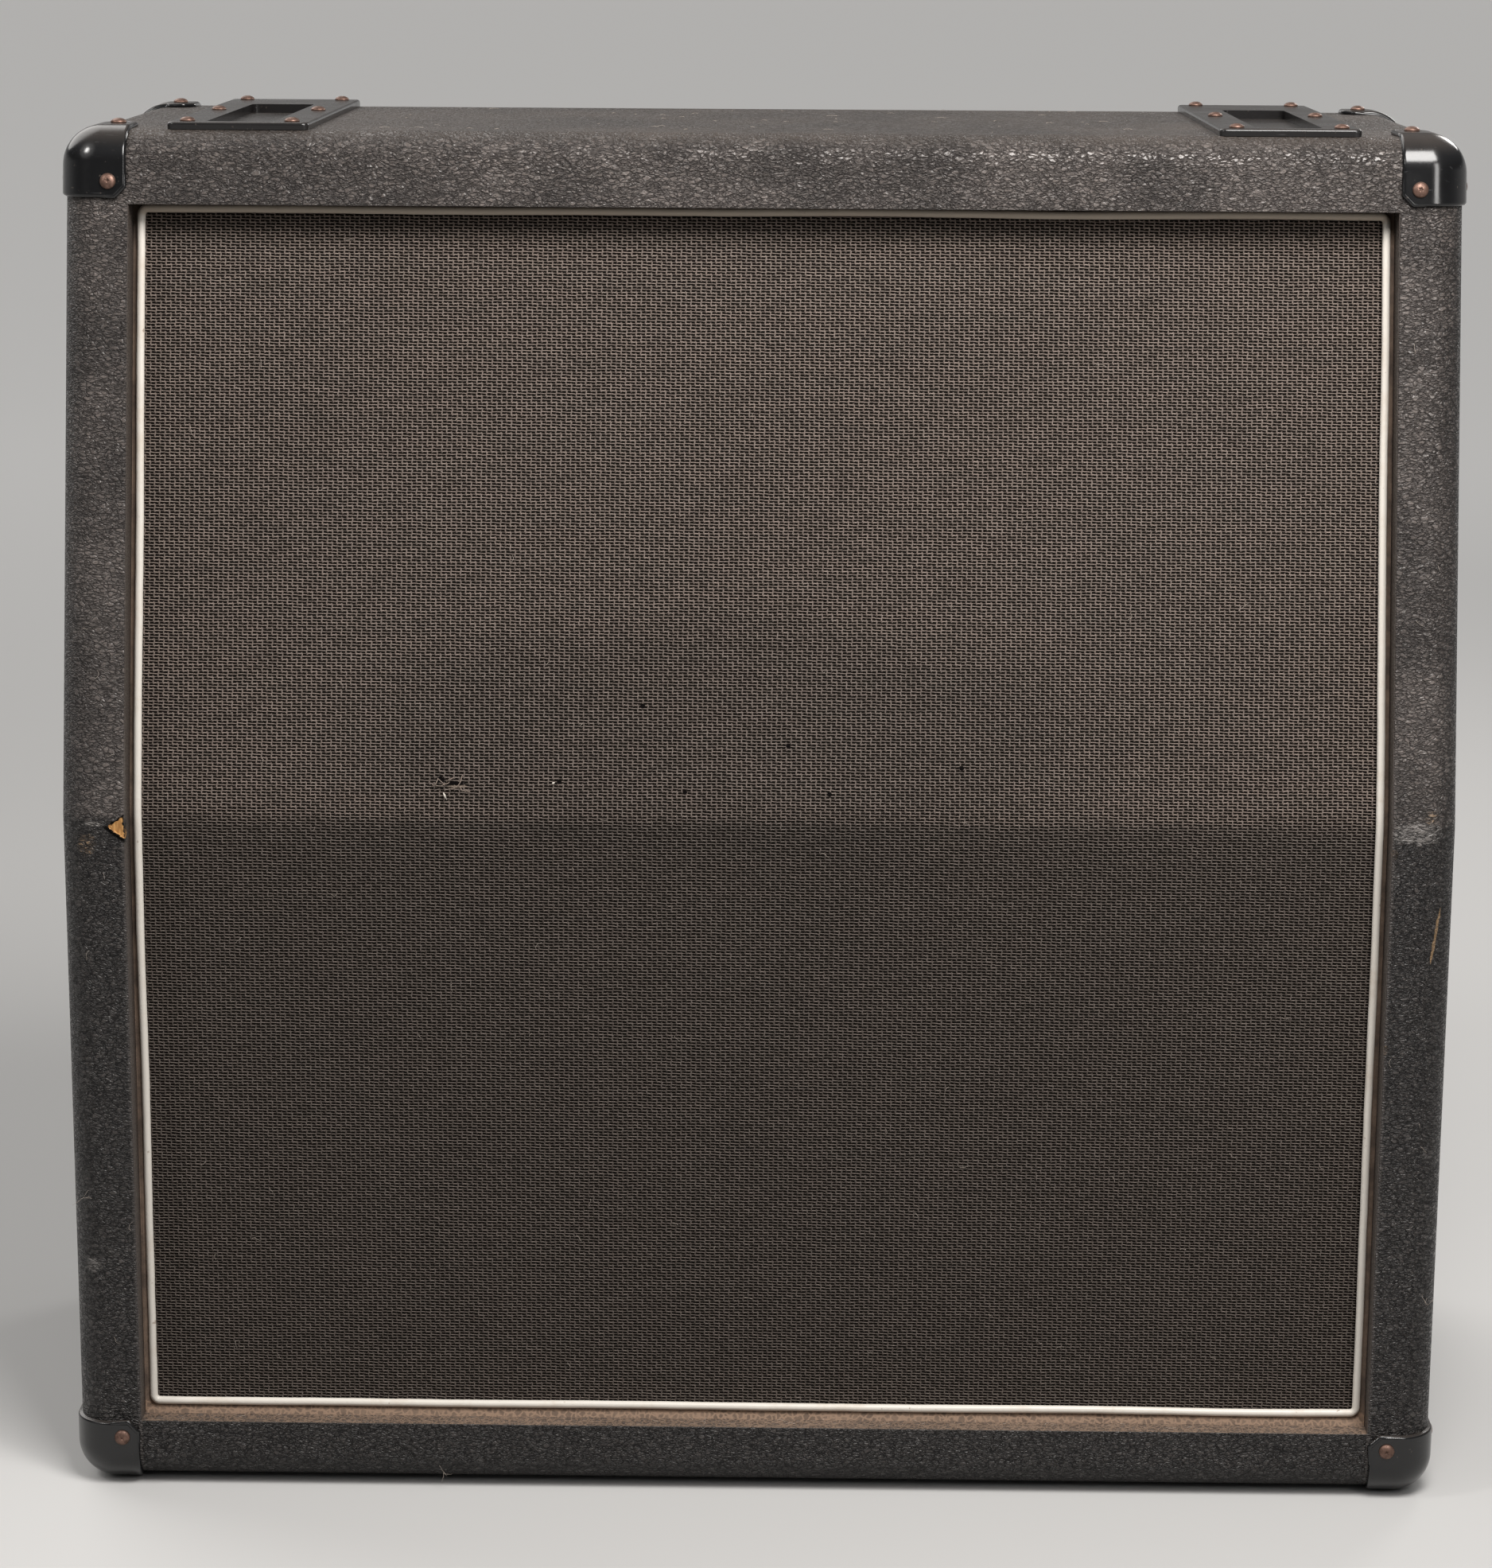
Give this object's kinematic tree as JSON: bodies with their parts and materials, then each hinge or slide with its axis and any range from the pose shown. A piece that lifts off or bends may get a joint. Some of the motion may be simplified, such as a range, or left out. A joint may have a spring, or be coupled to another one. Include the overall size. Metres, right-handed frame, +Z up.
{
  "type": "guitar speaker cabinet",
  "caption": "Closed-back guitar speaker cabinet with an angled upper front, black grained vinyl, woven grille cloth, white piping, corner protectors, castor dishes and side handles.",
  "frame": {"origin": "on the floor under the middle of the cabinet", "axes": "+X to the right seen from the front, +Y to the back, +Z up; the grille faces -Y"},
  "size_m": [0.7758, 0.3728, 0.7631],
  "materials": {
    "plywood": "bare birch plywood",
    "softwood": "planed softwood",
    "vinyl": "black grained vinyl cloth, worn",
    "cloth": "coarse woven grille cloth",
    "piping": "aged white",
    "corner_plastic": "glossy black",
    "dish_plastic": "black, dusty",
    "handle_plastic": "black moulded",
    "frame_steel": "grey paint",
    "magnet": "plated plates and dark ferrite",
    "cone_paper": "pressed paper",
    "suspension": "doped cloth",
    "jack": "plated bush in a black housing",
    "brown_screws": "aged coppery brown",
    "black_screws": "black",
    "bright_screws": "zinc plated",
    "wire": "black insulation",
    "plate_steel": "black paint",
    "switch_plastic": "black",
    "socket_steel": "zinc plated, dull"
  },
  "bodies": {
    "cabinet": {"baffle_cleats": "softwood", "bend_batten": "softwood", "border_strips": "softwood", "bottom_panel": "plywood", "castor_dish_left": "dish_plastic", "castor_dish_right": "dish_plastic", "castor_sockets": "socket_steel", "centre_brace": "softwood", "corner_front_bottom_left": "corner_plastic", "corner_front_bottom_right": "corner_plastic", "corner_front_top_left": "corner_plastic", "corner_front_top_right": "corner_plastic", "corner_rear_bottom_left": "corner_plastic", "corner_rear_bottom_right": "corner_plastic", "corner_rear_top_left": "corner_plastic", "corner_rear_top_right": "corner_plastic", "corner_screws": "brown_screws", "dish_screws": "brown_screws", "grille_cloth": "cloth", "handle_cup_left": "handle_plastic", "handle_cup_right": "handle_plastic", "handle_grip_left": "handle_plastic", "handle_grip_right": "handle_plastic", "handle_screws": "black_screws", "jack_plate": "plate_steel", "jack_plate_screws": "black_screws", "jack_socket_left": "jack", "jack_socket_right": "jack", "left_side_panel": "plywood", "lower_baffle": "plywood", "rear_cleats": "softwood", "rear_panel": "plywood", "rear_panel_screws": "black_screws", "rear_panel_vinyl": "vinyl", "right_side_panel": "plywood", "socket_screws": "bright_screws", "speaker_bolts": "bright_screws", "speaker_frame_lower_left": "frame_steel", "speaker_frame_lower_right": "frame_steel", "speaker_frame_upper_left": "frame_steel", "speaker_frame_upper_right": "frame_steel", "speaker_magnet_lower_left": "magnet", "speaker_magnet_lower_right": "magnet", "speaker_magnet_upper_left": "magnet", "speaker_magnet_upper_right": "magnet", "speaker_suspension_lower_left": "suspension", "speaker_suspension_lower_right": "suspension", "speaker_suspension_upper_left": "suspension", "speaker_suspension_upper_right": "suspension", "speaker_wiring": "wire", "switch_body": "switch_plastic", "top_panel": "plywood", "upper_baffle": "plywood", "vinyl_covering": "vinyl", "white_piping": "piping"},
    "cone_upper_left": {"speaker_cone_upper_left": "cone_paper"},
    "cone_upper_right": {"speaker_cone_upper_right": "cone_paper"},
    "cone_lower_left": {"speaker_cone_lower_left": "cone_paper"},
    "cone_lower_right": {"speaker_cone_lower_right": "cone_paper"},
    "switch_slider": {"switch_slider": "switch_plastic"}
  },
  "joints": [
    {"name": "cone_upper_left_travel", "type": "slide", "parent": "cabinet", "child": "cone_upper_left", "axis": [0, -0.9787, 0.2051], "range_m": [-0.003, 0.003], "stiffness_N_per_m": 3000, "deforming": ["speaker_suspension_upper_left"]},
    {"name": "cone_upper_right_travel", "type": "slide", "parent": "cabinet", "child": "cone_upper_right", "axis": [0, -0.9787, 0.2051], "range_m": [-0.003, 0.003], "stiffness_N_per_m": 3000, "deforming": ["speaker_suspension_upper_right"]},
    {"name": "cone_lower_left_travel", "type": "slide", "parent": "cabinet", "child": "cone_lower_left", "axis": [0, -1, 0], "range_m": [-0.003, 0.003], "stiffness_N_per_m": 3000, "deforming": ["speaker_suspension_lower_left"]},
    {"name": "cone_lower_right_travel", "type": "slide", "parent": "cabinet", "child": "cone_lower_right", "axis": [0, -1, 0], "range_m": [-0.003, 0.003], "stiffness_N_per_m": 3000, "deforming": ["speaker_suspension_lower_right"]},
    {"name": "switch_slide", "type": "slide", "parent": "cabinet", "child": "switch_slider", "axis": [-1, 0, 0], "range_m": [0, 0.006]}
  ]
}
